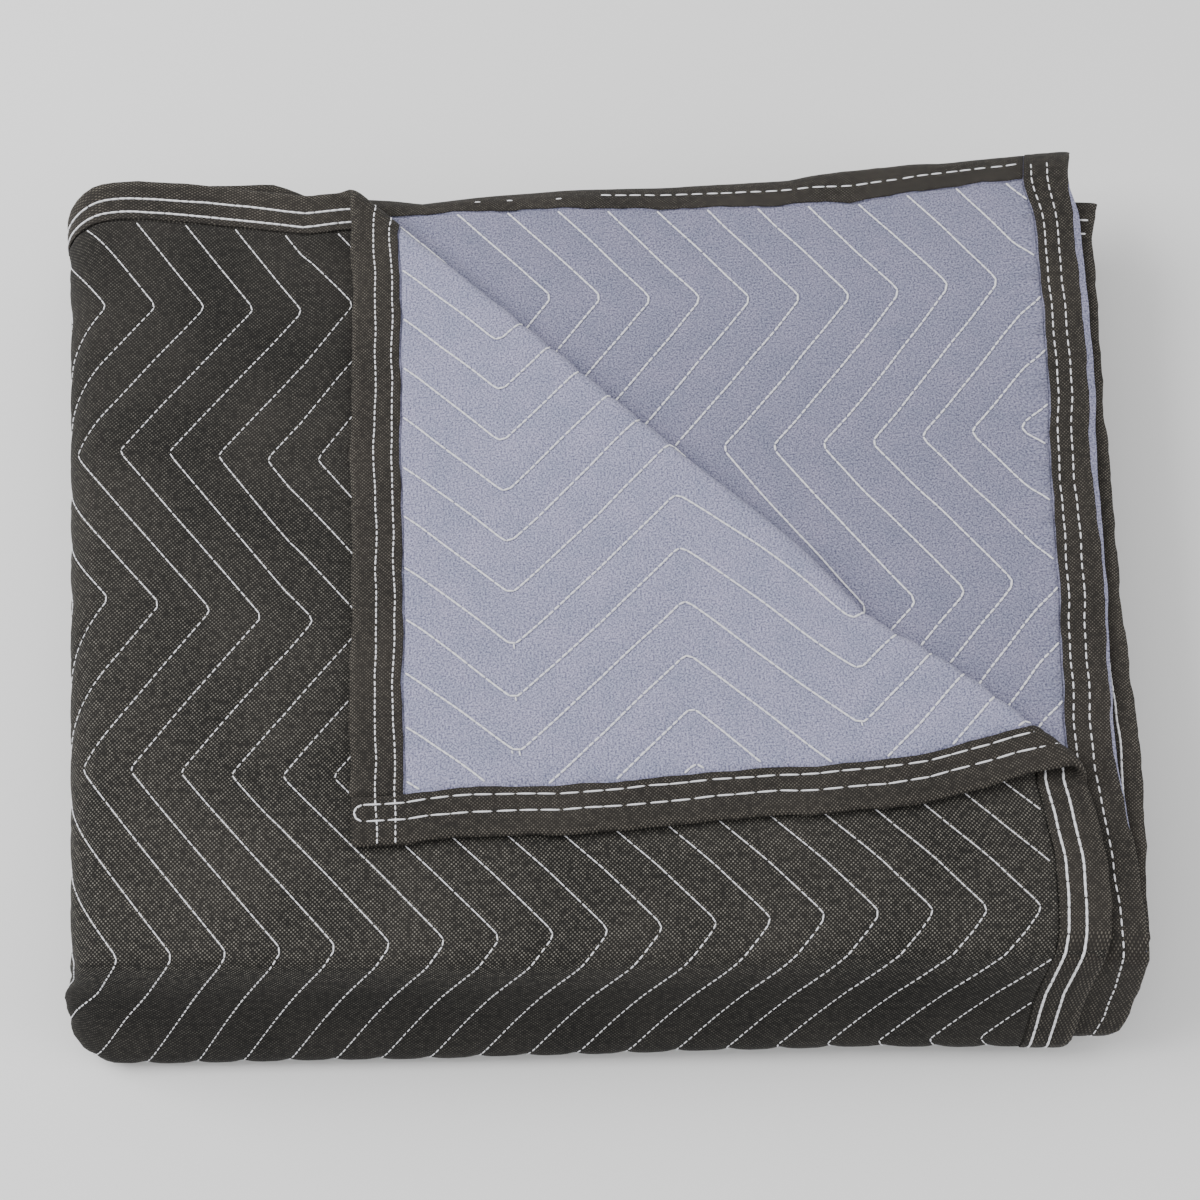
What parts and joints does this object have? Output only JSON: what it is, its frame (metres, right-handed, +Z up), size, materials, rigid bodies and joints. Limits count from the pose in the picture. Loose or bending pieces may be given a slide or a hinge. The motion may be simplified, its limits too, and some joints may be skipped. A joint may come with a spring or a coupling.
{
  "type": "folded moving pad",
  "caption": "Quilted moving pad with a woven face, a felt back and bound edges, folded into a flat stack with one corner turned back.",
  "frame": {"origin": "middle of the folded stack's footprint, at the height of its lowest face", "axes": "+Z up through the layers, +X to the right, towards the open bound edges, +Y to the back, away from the front fold"},
  "size_m": [0.5444, 0.4774, 0.0904],
  "materials": {
    "woven_face": "charcoal woven polyester with a fine dotted texture, matt",
    "felt_back": "blue-grey non-woven felt, matt",
    "binding_tape": "dark woven binding tape, matt"
  },
  "bodies": {
    "root": {"face_panel": "woven_face", "back_panel": "felt_back", "binding_right": "binding_tape", "binding_left": "binding_tape", "binding_back": "binding_tape", "binding_front": "binding_tape"}
  },
  "joints": []
}
